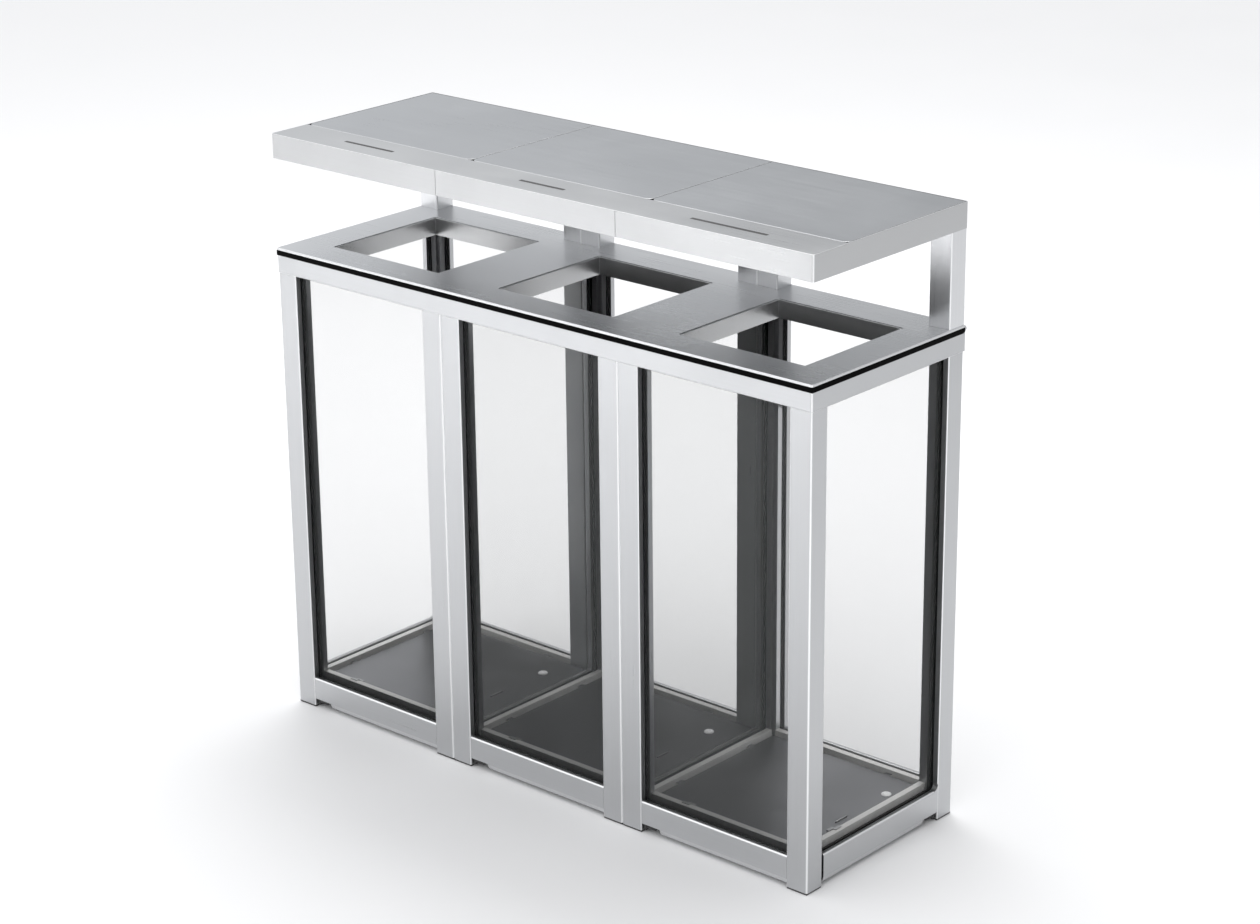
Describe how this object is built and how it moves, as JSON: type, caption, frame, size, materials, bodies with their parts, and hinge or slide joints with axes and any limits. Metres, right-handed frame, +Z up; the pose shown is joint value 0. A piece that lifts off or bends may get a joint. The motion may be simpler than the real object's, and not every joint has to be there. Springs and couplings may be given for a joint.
{
  "type": "recycling bin station",
  "caption": "Free-standing glazed waste separation station: square bays with clear sides, folded steel posts and rails, a hinged lid with square chutes and a flat canopy on rear posts.",
  "frame": {"origin": "on the floor, at the centre of the bounding box", "axes": "+Z up, +X to the right along the front, the front faces -Y; the lid hinges are on the +Y side"},
  "size_m": [1.2, 0.41, 1.081],
  "materials": {
    "post_steel": "satin brushed, grain upright",
    "rail_steel": "satin brushed",
    "pane_glass": "clear, polished",
    "glazing_rubber": "matt black",
    "tray_steel": "satin, slightly stained",
    "ring_steel": "satin",
    "frame_steel": "satin brushed, grain along the frame",
    "seal_rubber": "matt black",
    "bracket_steel": "dull",
    "foot_plastic": "matt black",
    "hinge_steel": "satin",
    "pin_steel": "bright",
    "lock_case_steel": "dull",
    "lid_steel": "satin brushed, grain along the lid",
    "chute_steel": "satin brushed",
    "support_steel": "satin brushed, grain upright",
    "roof_steel": "satin brushed, grain along the roof",
    "cover_steel": "satin brushed, slightly bluish",
    "keeper_steel": "dull",
    "lock_chrome": "polished",
    "bolt_steel": "bright"
  },
  "bodies": {
    "frame": {"left_front_left_post": "post_steel", "left_front_right_post": "post_steel", "left_rear_left_post": "post_steel", "left_rear_right_post": "post_steel", "centre_front_left_post": "post_steel", "centre_front_right_post": "post_steel", "centre_rear_left_post": "post_steel", "centre_rear_right_post": "post_steel", "right_front_left_post": "post_steel", "right_front_right_post": "post_steel", "right_rear_left_post": "post_steel", "right_rear_right_post": "post_steel", "left_front_rail": "rail_steel", "left_rear_rail": "rail_steel", "centre_front_rail": "rail_steel", "centre_rear_rail": "rail_steel", "right_front_rail": "rail_steel", "right_rear_rail": "rail_steel", "left_end_rail": "rail_steel", "right_end_rail": "rail_steel", "left_divider_rail": "rail_steel", "right_divider_rail": "rail_steel", "left_front_pane": "pane_glass", "left_rear_pane": "pane_glass", "centre_front_pane": "pane_glass", "centre_rear_pane": "pane_glass", "right_front_pane": "pane_glass", "right_rear_pane": "pane_glass", "left_end_pane": "pane_glass", "right_end_pane": "pane_glass", "left_divider_pane": "pane_glass", "right_divider_pane": "pane_glass", "glazing_channels": "glazing_rubber", "left_floor_tray": "tray_steel", "centre_floor_tray": "tray_steel", "right_floor_tray": "tray_steel", "left_bag_ring": "ring_steel", "centre_bag_ring": "ring_steel", "right_bag_ring": "ring_steel", "top_frame": "frame_steel", "lid_seal": "seal_rubber", "anchor_brackets": "bracket_steel", "foot_plugs": "foot_plastic", "hinge_frame_leaves": "hinge_steel", "hinge_pins": "pin_steel", "lock_case": "lock_case_steel"},
    "top_unit": {"lid_plate": "lid_steel", "left_chute": "chute_steel", "centre_chute": "chute_steel", "right_chute": "chute_steel", "roof_supports_left": "support_steel", "roof_supports_right": "support_steel", "roof_frame": "roof_steel", "left_roof_cover": "cover_steel", "centre_roof_cover": "cover_steel", "right_roof_cover": "cover_steel", "hinge_lid_leaves": "hinge_steel", "lock_keeper": "keeper_steel"},
    "lock_cylinder": {"lock_plug": "lock_chrome"},
    "bolt": {"lock_bolt": "bolt_steel"}
  },
  "joints": [
    {"name": "lid_hinge", "type": "hinge", "parent": "frame", "child": "top_unit", "pos_m": [0, 0.2, 0.866], "axis": [-1, 0, 0], "range_deg": [0, 95]},
    {"name": "lock_turn", "type": "hinge", "parent": "frame", "child": "lock_cylinder", "pos_m": [-0.6, -0.135, 0.851], "axis": [1, 0, 0], "range_deg": [0, 90]},
    {"name": "bolt_slide", "type": "slide", "parent": "frame", "child": "bolt", "axis": [0, 1, 0], "range_m": [0, 0.008]}
  ],
  "couplings": [
    {"joint": "bolt_slide", "follows": "lock_turn", "m_per_rad": 0.00509}
  ]
}
